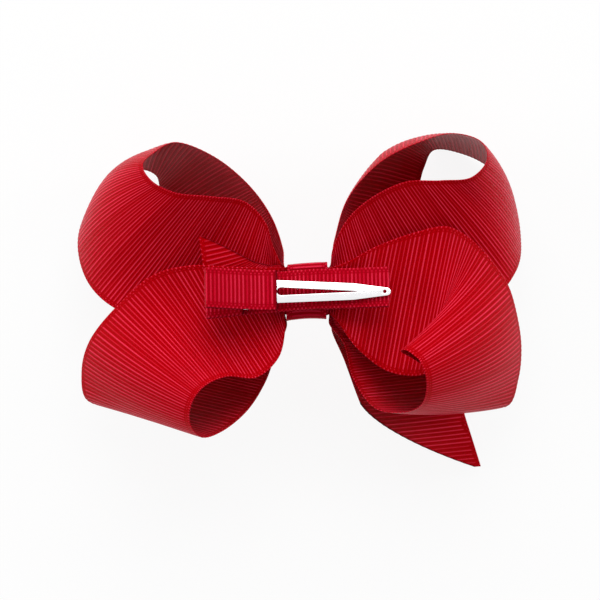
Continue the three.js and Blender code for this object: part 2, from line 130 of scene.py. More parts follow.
# A smooth line through stations: a cubic between each pair, whose slope at a station is weighted by
# the square root of the distances to its neighbours. t runs from 0 at the first to 1 at the last.
def lineThrough(stations, t):
    known = np.asarray(stations, float)
    known = np.vstack([2 * known[0] - known[1], known, 2 * known[-1] - known[-2]])
    spans = len(known) - 3
    position = np.clip(t, 0, 1) * spans
    i = np.minimum(position.astype(int), spans - 1)
    u = (position - i)[..., None]
    p0, p1, p2, p3 = (known[i + k] for k in range(4))
    pairs = ((p0, p1), (p1, p2), (p2, p3))
    d0, d1, d2 = (np.sum((b - a) ** 2, axis=-1, keepdims=True) ** 0.25 for a, b in pairs)
    d1 = np.where(d1 < 1e-4, 1.0, d1)
    d0 = np.where(d0 < 1e-4, d1, d0)
    d2 = np.where(d2 < 1e-4, d1, d2)
    slope1 = ((p1 - p0) / d0 - (p2 - p0) / (d0 + d1) + (p2 - p1) / d1) * d1
    slope2 = ((p2 - p1) / d1 - (p3 - p1) / (d1 + d2) + (p3 - p2) / d2) * d1
    cubic = 2 * p1 - 2 * p2 + slope1 + slope2
    square = -3 * p1 + 3 * p2 - 2 * slope1 - slope2
    return p1 + slope1 * u + square * u ** 2 + cubic * u ** 3


def unit(v):
    return v / np.maximum(np.linalg.norm(v, axis=-1, keepdims=True), 1e-9)


def smoothStep(x):
    x = np.clip(x, 0, 1)
    return x * x * (3 - 2 * x)


# ---- woven ribbon ----
# Grosgrain: thick cords lie across the ribbon under fine lengthwise threads, so it is ribbed from
# edge to edge, and the cords turn back in a small chain along both selvages.
grosgrain = {
    "ribPitch": 0.95,          # mm from rib to rib
    "rowsPerRib": 6,
    "grooveHalf": 0.07,        # mm, half the thickness in a groove
    "ribHalf": 0.08,           # mm that a rib adds to it
    "chainWidth": 1.25,        # mm of selvage
    "threadPitch": 0.3,        # mm between lengthwise threads, drawn a little coarser than real
}


# Half the ribbon's thickness at a number of ribs along it and a distance in from the nearer edge: a
# groove's half thickness plus a rounded rib, which rises as the square of a cosine to its crest at
# each whole rib. In the selvage the outer beads stand half a rib away from the ribs. Also gives how
# near the crest it is, 0 to 1.
def weaveRelief(ribs, edge, evenness):
    rib = np.cos(np.pi * ribs) ** 2
    bead = np.sin(np.pi * ribs) ** 2
    outer = smoothStep((0.72 - edge) / 0.2)
    crest = rib * (1 - outer) + bead * outer
    crest = crest * evenness
    for depth, middle in ((0.65, 0.66), (0.75, grosgrain["chainWidth"])):
        crest = crest * (1 - depth * np.exp(-((edge - middle) / 0.13) ** 2))
    half = grosgrain["grooveHalf"] + grosgrain["ribHalf"] * crest
    rounding = np.clip(edge / 0.3, 0, 1)
    return half * np.maximum(np.sqrt(rounding * (2 - rounding)), 0.2), crest


# A closed sheet about a middle surface: each point moves out along the surface's normal by half the
# thickness there, once to each side, and strips of faces close the four edges.
def closedSheet(name, middle, half, crest, across, along, material):
    rows, columns = middle.shape[:2]
    normal = unit(np.cross(np.gradient(middle, axis=0), np.gradient(middle, axis=1)))
    points = np.concatenate([middle + normal * half[..., None], middle - normal * half[..., None]])
    points = points.reshape(-1, 3)
    index = np.arange(2 * rows * columns).reshape(2, rows, columns)
    front, back = index

    def quads(a, b, c, d):
        return np.stack([a.ravel(), b.ravel(), c.ravel(), d.ravel()], axis=1)

    faces = np.concatenate([
        quads(front[:-1, :-1], front[1:, :-1], front[1:, 1:], front[:-1, 1:]),
        quads(back[:-1, :-1], back[:-1, 1:], back[1:, 1:], back[1:, :-1]),
        quads(front[0, :-1], front[0, 1:], back[0, 1:], back[0, :-1]),
        quads(front[-1, 1:], front[-1, :-1], back[-1, :-1], back[-1, 1:]),
        quads(front[1:, 0], front[:-1, 0], back[:-1, 0], back[1:, 0]),
        quads(front[:-1, -1], front[1:, -1], back[1:, -1], back[:-1, -1]),
    ])
    piece = meshObject(name, place(points), [faces], material)
    addNumbers(piece, "crest", np.concatenate([crest, crest]))
    addUv(piece, np.concatenate([across, across]), np.concatenate([along, along]))
    return piece


# ---- the bow's wide ribbon ----
# A stretch of ribbon is a list of stations. Each gives the two ends of one rib, inner then outer,
# how far the rib bulges between them, and how far its inner end folds over.
wide = {
    "width": 38.0,             # mm, as woven
    "waistHalf": 5.9,          # mm, half of the gathered width
    "seam": 0.6,               # mm from the middle to where each side starts
    "layerPitch": 1.2,         # mm from one gathered layer to the next
    "exit": 5.4,               # mm from the middle to where the ribbon leaves the wrap
    "pleatDepth": 0.35,        # mm, of the folds that gather it
    "pleatCount": 2,
    "flare": 0.55,             # mm more, where the folds open out beside the wrap
    "flareAt": 2.0,            # stations from the waist
    "flareReach": 0.9,
}
w0, w1 = wide["waistHalf"], -wide["waistHalf"]
seam, pitch = wide["seam"], wide["layerPitch"]

stretches = {
    "upper_left_loop": {
        "side": -1, "layers": (-1, -2), "top": w0, "outward": -1,
        "stations": [
            [(-8.2, 10.5, -1.5), (-9.0, -6.8, -3.6), 0],
            [(-10.3, 17.0, 0.5), (-17.5, -8, -6), -1],
            [(-15.5, 22.3, 2.5), (-31, -8, -9), -2],
            [(-24, 23.6, 4), (-46, -5.5, -10), -1],
            [(-33, 24.6, 5), (-55.2, 2, -17.5), 2],
            [(-38.8, 27.6, 4.5), (-58, 14, -26), 3],
            [(-41, 31.5, 2.5), (-53, 24.5, -31), 3],
            [(-38, 34.8, 0), (-43.5, 31, -34.5), 2],
            [(-33, 37.2, -2.5), (-38.5, 29.5, -35), 2],
            [(-23.5, 33.8, -4), (-37, 24.5, -34), 2],
            [(-14.5, 26.5, -5), (-31.5, 18, -32), 2],
            [(-8.8, 18.5, -5), (-20, 9, -22), 0],
            [(-6.0, 10.5, -3.6), (-9, -3.5, -9.5), 0],
        ],
    },
    "upper_right_loop": {
        "side": 1, "layers": (0, -1), "top": w0, "outward": 1,
        "stations": [
            [(6.4, 10.5, 0.0), (9, -6.8, -2.4), 0],
            [(9.8, 17.5, 1.5), (17.5, -8, -5), -1],
            [(15.5, 22.9, 3), (31.5, -6.5, -9), -2],
            [(24.5, 27.2, 4.5), (46, -2.5, -10.5), -1],
            [(33.5, 27.6, 5), (52.8, 5, -17.5), 2],
            [(41, 28.4, 5), (54.3, 13, -26.5), 2],
            [(45.0, 33.0, 3), (52.2, 24, -32), 1.5],
            [(43.5, 37.3, 0.5), (46.5, 31.5, -34.5), 1],
            [(36.5, 39.4, -2), (39.8, 35, -36), 1.5],
            [(28.5, 37.4, -4), (32.5, 36, -36), 2.5],
            [(18.3, 32.2, -5), (29.9, 31.5, -33), 5],
            [(10.3, 23.2, -5.5), (26.5, 20, -28), 6],
            [(6.8, 12.5, -2.7), (12, 3, -6.6), 1],
        ],
    },
    "lower_left_loop": {
        "side": -1, "layers": (2, 0), "top": w1, "outward": 1,
        "stations": [
            [(-5.4, -9.5, 3.4), (-10, 5.8, 3.0), 0],
            [(-7.0, -16.5, 5.5), (-19, 6.0, 3.0), -1.5],
            [(-12.5, -21.5, 8.5), (-29, 6.4, 2.5), -3.5],
            [(-20, -21.3, 11), (-38.5, 4.0, -2), -3],
            [(-25.6, -23.8, 13), (-47, -3, -7.5), 0],
            [(-28.6, -28.0, 12.5), (-54.8, -12.5, -14), 2],
            [(-29.0, -33.0, 10), (-57, -20.5, -19.5), 1.5],
            [(-26.2, -36.4, 7), (-55.8, -27.5, -23), 0],
            [(-21.5, -35.2, 3.5), (-48.5, -29, -25), 0],
            [(-15, -30, 0.5), (-41, -24.5, -23.5), 0],
            [(-10.4, -22.8, -1), (-31, -18.5, -17), 0],
            [(-7.4, -14.5, -0.6), (-19, -13, -8), 0],
            [(-5.0, -8.6, 0), (-9, -7.4, -1), 0],
        ],
    },
    "lower_right_loop": {
        "side": 1, "layers": (2, 1), "top": w1, "outward": -1,
        "stations": [
            [(7.2, -7.2, 2.8), (9.5, 7.0, 2.6), 0],
            [(12.2, -14, 2.8), (17, 11.0, 1.9), -1],
            [(20, -20, 2.2), (26.5, 14.5, 1.5), -2],
            [(27, -21.2, 3.0), (34.5, 16.2, 0.5), -1],
            [(29, -20, 6.5), (38.5, 14.8, -2.5), 0, (1.5, 0, -1)],
            [(29, -18.5, 10), (42, 12.3, -5), 0, (-2.5, 1.5, -1)],
            [(28.5, -17.3, 13), (45, 9.3, -7.3), 0.5, (-5.3, 2.3, -0.5)],
            [(28, -16.5, 15.2), (47.7, 6, -9.5), 1, (-3.2, 1.7, 0)],
            [(28.2, -17, 16.3), (50.8, 1.2, -12), 2, (-0.5, 0, 0)],
            [(29.3, -20.8, 16), (53, -6, -15.5), 3],
            [(29.5, -25, 13.5), (54.2, -14, -18.8), 3],
            [(28.3, -28.3, 10.5), (53.6, -22, -22), 2],
            [(24.5, -30.1, 7), (51, -29, -24.5), 1],
            [(17, -29.2, 2.5), (42, -28.0, -24), 1],
            [(11.6, -22.0, -0.5), (33, -19.5, -17), 0],
            [(9.2, -13.2, -0.4), (20, -13, -8), 0],
            [(5.5, -8.2, 1.2), (9.5, -7.4, 0.4), 0],
        ],
    },
    "lower_right_tail": {
        "side": 1, "layers": (-2,), "top": w1, "outward": -1, "declared": 0.05, "cut": (0.7, 0.65),
        "stations": [
            [(6.4, -10.5, -4.2), (10, -6, -12.4), 0],
            [(9.2, -17, -5.2), (27, -11, -23), 0],
            [(12.5, -26, -7.5), (37.5, -24, -31), -2],
            [(16.5, -36, -8), (41.0, -34, -33), -2],
            [(20.5, -46, -9), (44.6, -45.4, -34), -2],
        ],
    },
    "upper_left_tail": {
        "side": -1, "layers": (1,), "top": w0, "outward": 1, "declared": 0.0215, "cut": (0.25, 0.5),
        "stations": [
            [(-6.3, 6.8, 1.9), (-10, -8.6, 1.6), 0],
            [(-7.4, 8.5, 1.6), (-20, -9.2, 0), 0],
            [(-6, 11, 1.8), (-25.5, -2, -0.2), 0],
            [(-1, 13, 2), (-26, 6, 0.8), 0],
            [(2, 19, 2.5), (-27, 14, 1.6), 0],
        ],
    },
}


def withWaist(stretch):
    ends = []
    for layer in stretch["layers"]:
        z = layer * pitch
        for x in (seam, wide["exit"]):
            sideX = stretch["side"] * x
            ends.append([(sideX, stretch["top"], z), (sideX, -stretch["top"], z), 0])
    return ends[:2] + stretch["stations"] + ends[:1:-1]


# A point of the ribbon: the straight line between the rib's two ends, moved along the surface's
# normal by the bulge times 4w(1 - w), and by the overhang times the square of 1 - w. Near the waist
# a cosine of the place across it folds the ribbon up and down.
def ribbonMiddle(stretch, t, w):
    stations = withWaist(stretch)
    inner = [s[0] for s in stations]
    outer = [s[1] for s in stations]
    bulges = [(s[2], 0, 0) for s in stations]
    overhangs = [s[3] if len(s) > 3 else (0, 0, 0) for s in stations]
    a = lineThrough(inner, t)
    b = lineThrough(outer, t)
    later = np.minimum(t + 0.003, 1)
    sooner = np.maximum(t - 0.003, 0)
    ahead = lineThrough(inner, later) + lineThrough(outer, later)
    ahead = ahead - lineThrough(inner, sooner) - lineThrough(outer, sooner)
    normal = unit(np.cross(b - a, ahead))
    bulge = stretch["outward"] * lineThrough(bulges, t)[..., :1] * 4 * w * (1 - w)
    point = a * (1 - w) + b * w + normal * bulge + lineThrough(overhangs, t) * (1 - w) ** 2
    last = len(stations) - 1
    away = t[..., None] * last if "cut" in stretch else np.minimum(t, 1 - t)[..., None] * last
    gather = wide["pleatDepth"] * smoothStep(2 - away / 1.2)
    gather = gather + wide["flare"] * np.exp(-((away - wide["flareAt"]) / wide["flareReach"]) ** 2)
    point[..., 2:] += gather * np.cos(2 * np.pi * wide["pleatCount"] * w)
    return point


# Ribs are spaced evenly along a run that grows, at each step, with the mean of the ribbon's edges
# and centre line plus the longest of them, so that ribs stay close where they fan out. It is scaled
# to the centre line's length. Rows of faces stand at fixed parts of a rib and columns crowd towards
# the selvages. A tail's rows start at its slanting cut.
def ribbonPiece(name, stretch, material, seed):
    dense = np.linspace(0, 1, 1500)
    lines = [ribbonMiddle(stretch, dense, np.full((1500, 1), w)) for w in (0, 0.5, 1)]
    steps = np.linalg.norm(np.diff(lines, axis=1), axis=2)
    growth = steps.mean(axis=0) + steps.max(axis=0)
    run = np.concatenate([[0], np.cumsum(growth)]) * steps[1].sum() / growth.sum()
    ribs = int(run[-1] / grosgrain["ribPitch"])
    rows = ribs * grosgrain["rowsPerRib"] + 1
    along = np.linspace(0, ribs * grosgrain["ribPitch"], rows)
    t = np.interp(along, run, dense)
    edgeColumns = np.array([0, 0.12, 0.3, 0.5, 0.68, 0.9, 1.1, 1.27, 1.45, 1.8]) / wide["width"]
    w = np.concatenate([edgeColumns, np.linspace(1.8 / wide["width"], 1 - 1.8 / wide["width"], 24)[1:-1]])
    w = np.concatenate([w, 1 - edgeColumns[::-1]])
    w = np.broadcast_to(w, (rows, len(w)))
    if "cut" in stretch:
        kept = t < 0.993
        t, along, w = t[kept], along[kept], w[kept]
        share, bend = stretch["cut"]
        start = np.clip((t - share) / (1 - share), 0, 1)[:, None] ** (1 / bend)
        w = start + (1 - start) * w
    rng = np.random.default_rng(seed)
    evenness = 0.88 + 0.24 * rng.random(ribs + 2)[(along / grosgrain["ribPitch"] + 0.5).astype(int)]
    edge = np.minimum(w, 1 - w) * wide["width"]
    half, crest = weaveRelief(along[:, None] / grosgrain["ribPitch"], edge, evenness[:, None])
    spread = np.repeat(t[:, None], w.shape[1], axis=1)
    middle = ribbonMiddle(stretch, spread, w[..., None])
    across = w * wide["width"]
    lengthways = np.repeat(along[:, None], w.shape[1], axis=1)
    piece = closedSheet(name.replace("_", "-"), middle, half, crest, across, lengthways, material)
    cutNear = np.zeros(w.shape)
    if "cut" in stretch:
        share, bend = stretch["cut"]
        fromCut = (w - start) * wide["width"]
        cutNear = np.where(start > 0, np.exp(-fromCut / 0.5), 0)
    addNumbers(piece, "cutNear", np.concatenate([cutNear, cutNear]))
    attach(piece, "bow")
    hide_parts(name)
    return piece, ribs * grosgrain["ribPitch"]


# Polyester grosgrain, woven and dyed red. Its colour has painted shade in the grooves, the cloth's red on
# the cords and a painted pinkish highlight on the cords' tops, with a soft pinkish sheen where light grazes
# it.
def grosgrainMaterial(name, look):
    material, tree = newMaterial(name)
    weave = addNode(tree, "ShaderNodeUVMap", uv_map="weave")
    place3d = addNode(tree, "ShaderNodeTexCoord").outputs["Object"]
    crest = addNode(tree, "ShaderNodeAttribute", attribute_name="crest").outputs["Fac"]
    patches = addNode(tree, "ShaderNodeTexNoise", {"Vector": place3d, "Scale": 90.0, "Detail": 3.0})
    slubs = addNode(tree, "ShaderNodeMapping", {"Vector": weave.outputs["UV"], "Scale": (0.12, 1.6, 1.0)})
    cords = addNode(tree, "ShaderNodeTexNoise", {
        "Vector": slubs.outputs["Vector"], "Scale": 1.0, "Detail": 2.0,
    })
    # The ramp paints shade into the grooves and a highlight onto the cords' tops, by how near the crest each
    # point is.
    ramp = addNode(tree, "ShaderNodeValToRGB", {"Fac": crest})
    ramp.color_ramp.elements[0].color = linearColour(look["groove"])
    ramp.color_ramp.elements[0].position = 0.1
    ramp.color_ramp.elements[1].color = linearColour(look["paintedHighlight"])
    ramp.color_ramp.elements[1].position = 1.0
    ramp.color_ramp.elements.new(0.74).color = linearColour(look["crest"])
    uneven = addNode(tree, "ShaderNodeMix", {
        "Factor": addNode(tree, "ShaderNodeMath", {0: patches.outputs["Fac"], 1: look["patchiness"]},
                          operation="MULTIPLY").outputs[0],
        "A": ramp.outputs["Color"], "B": linearColour(look["shade"]),
    }, data_type="RGBA")
    cutNear = addNode(tree, "ShaderNodeAttribute", attribute_name="cutNear").outputs["Fac"]
    sealed = addNode(tree, "ShaderNodeMix", {
        "Factor": cutNear, "A": uneven.outputs[2], "B": linearColour(look["melt"]),
    }, data_type="RGBA")
    threads = addNode(tree, "ShaderNodeTexWave", {
        "Vector": weave.outputs["UV"], "Scale": 0.314 / grosgrain["threadPitch"], "Distortion": 0.6,
        "Detail": 1.0, "Detail Scale": 2.0,
    }, bands_direction="X")
    fuzz = addNode(tree, "ShaderNodeTexNoise", {
        "Vector": weave.outputs["UV"], "Scale": 7.0, "Detail": 4.0,
    })
    relief = addNode(tree, "ShaderNodeMath", {
        0: threads.outputs["Fac"], 1: fuzz.outputs["Fac"],
    }, operation="ADD")
    relief = addNode(tree, "ShaderNodeMath", {
        0: relief.outputs[0], 1: cords.outputs["Fac"],
    }, operation="ADD")
    bump = addNode(tree, "ShaderNodeBump", {
        "Height": relief.outputs[0], "Strength": 0.5, "Distance": 0.00004,
    })
    rough = addNode(tree, "ShaderNodeMapRange", {
        "Value": cords.outputs["Fac"],
        "To Min": look["roughness"] - 0.06, "To Max": look["roughness"] + 0.08,
    })
    shader = addNode(tree, "ShaderNodeBsdfPrincipled", {
        "Base Color": sealed.outputs[2], "Roughness": rough.outputs["Result"],
        "Normal": bump.outputs["Normal"], "IOR": 1.5,
        "Specular IOR Level": look["specular"], "Specular Tint": linearColour(look["glint"]),
        "Sheen Weight": look["sheen"], "Sheen Roughness": 0.35, "Sheen Tint": linearColour(look["glint"]),
    })
    addNode(tree, "ShaderNodeOutputMaterial", {"Surface": shader.outputs["BSDF"]})
    return material


# groove is painted shade in the grooves, crest the cloth's red, and the brightest colour a painted highlight
# on the cords' tops.
wideLook = {
    "groove": "#a40006", "crest": "#b8000b", "paintedHighlight": "#ee3654", "shade": "#ac0007", "patchiness": 0.35,
    "roughness": 0.3, "specular": 0.03, "glint": "#ff5474", "sheen": 0.3, "melt": "#3c0104",
}
wideGrosgrain = grosgrainMaterial("woven polyester grosgrain, wide, red", wideLook)

# A loop's flat length is its length as made. The tails' gathered ends hold far less cloth than real pleats
# do, so each tail lists a shorter length, in metres, under declared, which nothing in this script reads.
for number, (name, stretch) in enumerate(stretches.items()):
    piece, madeLength = ribbonPiece(name, stretch, wideGrosgrain, number + 3)
    share, bend = stretch.get("cut", (1, 1))
    print("ribbon draped:", name, round(madeLength, 1), "mm,", len(piece.data.polygons), "faces")

# ---- narrow ribbon: the wrap round the waist and the clip's linings ----
narrow = {
    "width": 10.0,             # mm
    "columns": 26,
}


# A narrow ribbon whose middle follows a line in a side view, as wide as it is woven, with its ribs
# across it. line is (count, 2) points of the side view, the ribbon's outer face on its left. shift
# moves each rib sideways, in mm, as a function of its place in the side view, and crown lowers its
# edges below its middle, in mm, as a function of the distance along.
def narrowRibbon(name, line, toSpace, shift, crown, body, seed, ribPitch=1.0, cutEnds=(False, True)):
    run = np.concatenate([[0], np.cumsum(np.linalg.norm(np.diff(line, axis=0), axis=1))])
    ribs = int(run[-1] / ribPitch)
    rows = ribs * 8 + 1
    along = np.linspace(0, run[-1], rows)
    ribNumber = along / run[-1] * ribs
    side = np.stack([np.interp(along, run, line[:, 0]), np.interp(along, run, line[:, 1])], axis=1)
    step = np.gradient(side, axis=0)
    out = unit(np.stack([-step[:, 1], step[:, 0]], axis=1))
    edgeColumns = np.array([0, 0.12, 0.3, 0.5, 0.68, 0.9, 1.1, 1.27, 1.45]) / narrow["width"]
    w = np.concatenate([edgeColumns, np.linspace(0.18, 0.82, narrow["columns"] - 10), 1 - edgeColumns[::-1]])
    w = np.broadcast_to(w, (rows, len(w)))
    rng = np.random.default_rng(seed)
    evenness = 0.85 + 0.3 * rng.random(ribs + 2)[(ribNumber + 0.5).astype(int)]
    edge = np.minimum(w, 1 - w) * narrow["width"]
    half, crest = weaveRelief(ribNumber[:, None], edge, evenness[:, None])
    fromEnd = np.minimum(np.where(cutEnds[0], along, 99), np.where(cutEnds[1], run[-1] - along, 99))
    ragged = 0.25 * rng.random(w.shape) * np.exp(-fromEnd / 0.3)[:, None]
    across = (w - 0.5) * narrow["width"] + shift(side[:, 0])[:, None]
    low = crown(along)[:, None] * (2 * w - 1) ** 2
    flat = side[:, None, :] - out[:, None, :] * low[..., None]
    flat = flat + unit(step)[:, None, :] * ragged[..., None]
    middle = toSpace(flat[..., 0], across, flat[..., 1])
    lengthways = np.repeat(along[:, None], w.shape[1], axis=1)
    piece = closedSheet(name, middle, half, crest, w * narrow["width"], lengthways, narrowGrosgrain)
    cutNear = np.exp(-fromEnd / 0.35)[:, None] * np.ones(w.shape)
    addNumbers(piece, "cutNear", np.concatenate([cutNear, cutNear]))
    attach(piece, body)
    return piece, run[-1]


def arc(x, z, radius, start, stop, count):
    angle = np.linspace(start, stop, count)
    return np.stack([x + radius * np.cos(angle), z + radius * np.sin(angle)], axis=1)


# The wrap goes once round the gathered waist and its end lies over its start, under the clip.
wrap = {
    "halfY": 6.98,             # mm, from the waist's middle to the middle of the ribbon
    "halfZ": 4.08,
    "corner": 1.5,
    "overlap": 7.0,            # mm that the end lies over the start
    "lift": 0.42,              # mm that it stands over it
}
wy, wz, wc = wrap["halfY"], wrap["halfZ"], wrap["corner"]
quarter = math.pi / 2
ring = np.concatenate([
    [(1.4 - wrap["overlap"] / 2, wz)],
    arc(wy - wc, wz - wc, wc, quarter, 0, 12),
    arc(wy - wc, wc - wz, wc, 0, -quarter, 12),
    arc(wc - wy, wc - wz, wc, -quarter, -2 * quarter, 12),
    arc(wc - wy, wz - wc, wc, -2 * quarter, -3 * quarter, 12),
    [(-wrap["overlap"] / 2, wz + 0.05), (-wrap["overlap"] / 2 + 1.6, wz + wrap["lift"])],
    [(wrap["overlap"] / 2 + 0.5, wz + wrap["lift"])],
])


# Wound by hand, it stands higher at one side of its top, and its bottom is pulled in at the middle:
# a straight line and a parabola in x give how far its two ends stand off.
def wrapSpace(y, x, z):
    top = wy - 0.08 + 0.07 * x
    bottom = wy - 0.2 + 0.5 * (x / 5) ** 2 - 0.04 * x
    return np.stack([x, y / wy * np.where(y > 0, top, bottom), z * np.ones_like(x)], axis=-1)


# groove is painted shade in the grooves, crest the cloth's red, and the brightest colour a painted highlight
# on the cords' tops.
wrapLook = {
    "groove": "#96000c", "crest": "#bc0020", "paintedHighlight": "#e02e4c", "shade": "#aa0414", "patchiness": 0.35,
    "roughness": 0.3, "specular": 0.06, "glint": "#ff6480", "sheen": 0.4, "melt": "#3c0104",
}
narrowGrosgrain = grosgrainMaterial("woven polyester grosgrain, narrow, red", wrapLook)
wrapPiece, wrapLength = narrowRibbon(
    "waist-wrap", ring, wrapSpace,
    lambda y: 0.15 * np.sin(y / 3.0 + 0.4), lambda s: 0.10 + 0.05 * np.sin(s / 4.0),
    "bow", 21,
)
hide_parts("centre_wrap")
print("waist wrapped,", round(wrapLength, 1), "mm of narrow ribbon")

# ---- the clip ----
# The clip's own frame has x towards the tip, z up from the underside of its lined jaw and its pivot
# over x = 0. It is rolled about x, turned a little about its own z, and set on the wrap.
clip = {
    "at": (-9.5, -1.0, 6.3),   # mm about the waist's middle
    "roll": -10.0,             # degrees
    "turn": 0.8,
    "length": 45.3,            # mm over the steel
    "lever": 15.0,             # mm from the pivot to the lever's end
    "rise": 21.8,              # degrees, of the lever
    "bendAt": -1.6,            # mm, where the lever bends up
    "pinZ": 2.98,
    "rootZ": 4.76,             # mm, underside of the prong over the pivot
    "tipZ": 2.2,
    "lining": 0.4,             # mm, room for a lining
    "gap": 0.3,                # mm, between pieces
}
cosR, sinR = math.cos(math.radians(clip["roll"])), math.sin(math.radians(clip["roll"]))
cosT, sinT = math.cos(math.radians(clip["turn"])), math.sin(math.radians(clip["turn"]))
clipTurn = np.array([[1, 0, 0], [0, cosR, -sinR], [0, sinR, cosR]]) @ np.array(
    [[cosT, -sinT, 0], [sinT, cosT, 0], [0, 0, 1]])


def clipSpace(x, y, z):
    points = np.stack(np.broadcast_arrays(x, y, z), axis=-1)
    return points @ clipTurn.T + np.array(clip["at"])


tipX = clip["length"] - clip["lever"]
slope = math.atan2(clip["rootZ"] - clip["tipZ"], tipX)
rise = math.radians(clip["rise"])
leverRun = (clip["lever"] + clip["bendAt"]) / math.cos(rise)

jaw = {
    "width": 7.6,
    "steel": 0.5,
    "bottom": 0.7,             # mm, its underside
    "earOut": 3.65,            # mm from the middle to an ear's outer face
    "earHalf": 1.6,
    "earTop": 1.15,            # mm, past the pin's axis
    "earSteel": 0.5,
    "holeRadius": 0.72,
}
prong = {
    "root": 5.75,              # mm wide at the lever
    "tip": 2.0,
    "steel": 0.6,
    "slotWidth": 2.0,
    "slotStart": 2.0,
    "slotEnd": 22.6,
    "holeAt": 28.8,
    "holeRadius": 0.45,
    "earOut": 2.7,
    "crown": 0.22,             # mm that its edges fall below its middle
}

# The jaw's lining starts in front of the hinge, goes round the tip, back underneath, round the
# lever end and forward again. It lies a little askew.
jawMiddle = jaw["bottom"] + jaw["steel"] / 2
jawRoll = jaw["steel"] / 2 + clip["gap"] + clip["lining"] / 2
jawLine = np.concatenate([
    [(jaw["earHalf"] + 0.1, jawMiddle + jawRoll)],
    arc(tipX - 1, jawMiddle, jawRoll, quarter, -quarter, 14),
    arc(-clip["lever"], jawMiddle, jawRoll, -quarter, -3 * quarter, 14),
    [(-6.5, jawMiddle + jawRoll)],
])
jawLiningPiece, jawLiningLength = narrowRibbon(
    "jaw-lining-ribbon", jawLine, clipSpace,
    lambda x: np.interp(x, (-15, -4, 12, 30), (-0.9, 0.2, 1.1, 1.5)) + 0.06 * np.sin(x / 5),
    lambda s: 0.16 + 0.05 * np.sin(s / 3.0), "bow", 22, cutEnds=(True, True),
)
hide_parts("jaw_lining")

# The lever's lining starts under the lever, goes round its end and lies along its top.
liningTop = clip["rootZ"] + prong["steel"] + clip["gap"] + clip["lining"] / 2
leverRoll = prong["steel"] / 2 + clip["gap"] + clip["lining"] / 2
bend = np.array([clip["bendAt"], clip["rootZ"] + prong["steel"] / 2])
alongLever = np.array([-math.cos(rise), math.sin(rise)])
offLever = np.array([math.sin(rise), math.cos(rise)]) * leverRoll
leverEnd = bend + alongLever * leverRun
leverLine = np.concatenate([
    [tuple(bend - offLever + alongLever * 5.5)],
    arc(*leverEnd, np.linalg.norm(offLever), 3 * quarter - rise, quarter - rise, 14),
    [tuple(bend + offLever + alongLever * 2.0), tuple(bend + offLever + alongLever * 0.5 + (0, 0.12))],
    [(-0.9, liningTop + 0.16), (0.2, liningTop + 0.02), (1.9, liningTop - math.tan(slope) * 1.9)],
])
leverLiningPiece, leverLiningLength = narrowRibbon(
    "lever-lining-ribbon", leverLine, clipSpace,
    lambda x: 0.25 + 0.1 * np.sin(x / 6.5), lambda s: 0.13 + 0.05 * np.cos(s / 3.5),
    "prong", 23, ribPitch=1.06, cutEnds=(True, True),
)
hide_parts("prong_lever_lining")
print("clip linings folded,", round(jawLiningLength, 1), "and", round(leverLiningLength, 1), "mm")


# A plate stamped from sheet steel: closed outlines, the first the rim and the rest its holes, filled,
# given the sheet's thickness, rounded along every edge, and sliced at some x and y so that it can
# bend there. Gives points in mm and lists of faces.
def stampedPlate(outlines, thickness, rounding, slicesX=(), slicesY=()):
    curve = bpy.data.curves.new("outline", "CURVE")
    curve.dimensions = "2D"
    curve.fill_mode = "BOTH"
    curve.extrude = thickness / 2 - rounding
    curve.bevel_depth = rounding
    curve.bevel_resolution = 3
    curve.offset = -rounding
    for outline in outlines:
        spline = curve.splines.new("POLY")
        spline.points.add(len(outline) - 1)
        flat = np.concatenate([outline, np.zeros((len(outline), 1)), np.ones((len(outline), 1))], axis=1)
        spline.points.foreach_set("co", flat.ravel())
        spline.use_cyclic_u = True
    holder = bpy.data.objects.new("outline", curve)
    bpy.context.scene.collection.objects.link(holder)
    bpy.context.view_layer.update()
    ready = holder.evaluated_get(bpy.context.evaluated_depsgraph_get())
    mesh = bpy.data.meshes.new_from_object(ready)
    bpy.data.objects.remove(holder)
    bpy.data.curves.remove(curve)
    tidy = bmesh.new()
    tidy.from_mesh(mesh)
    bmesh.ops.remove_doubles(tidy, verts=tidy.verts, dist=0.002)
    slices = [((x, 0, 0), (1, 0, 0)) for x in slicesX] + [((0, y, 0), (0, 1, 0)) for y in slicesY]
    for middle, across in slices:
        parts = tidy.verts[:] + tidy.edges[:] + tidy.faces[:]
        bmesh.ops.bisect_plane(tidy, geom=parts, plane_co=middle, plane_no=across)
    bmesh.ops.triangulate(tidy, faces=tidy.faces)
    bmesh.ops.recalc_face_normals(tidy, faces=tidy.faces)
    tidy.to_mesh(mesh)
    tidy.free()
    points = np.empty(len(mesh.vertices) * 3)
    mesh.vertices.foreach_get("co", points)
    corners = np.empty(len(mesh.loops), np.int32)
    mesh.loops.foreach_get("vertex_index", corners)
    bpy.data.meshes.remove(mesh)
    return points.reshape(-1, 3), [corners.reshape(-1, 3)]


def line(a, b, count):
    return np.linspace(a, b, count, endpoint=False)


def circle(x, y, radius, count=24, start=0.0, stop=2 * math.pi):
    angle = np.linspace(start, stop, count, endpoint=False)
    return np.stack([x + radius * np.cos(angle), y + radius * np.sin(angle)], axis=1)


# An ear in side view: straight up from its plate, chamfered at its free end, with the pin's hole.
def hingeEar(offset, base, tip, thickness):
    half, chamfer = jaw["earHalf"], 0.6 * math.copysign(1, tip - base)
    rim = np.array([(-half, base), (half, base), (half, tip - chamfer), (half - 0.6, tip),
                    (0.6 - half, tip), (-half, tip - chamfer)])
    points, faces = stampedPlate([rim, circle(0, clip["pinZ"], jaw["holeRadius"])], thickness, 0.06)
    return np.stack([points[:, 0], points[:, 2] + offset, points[:, 1]], axis=1), [faces[0][:, ::-1]]


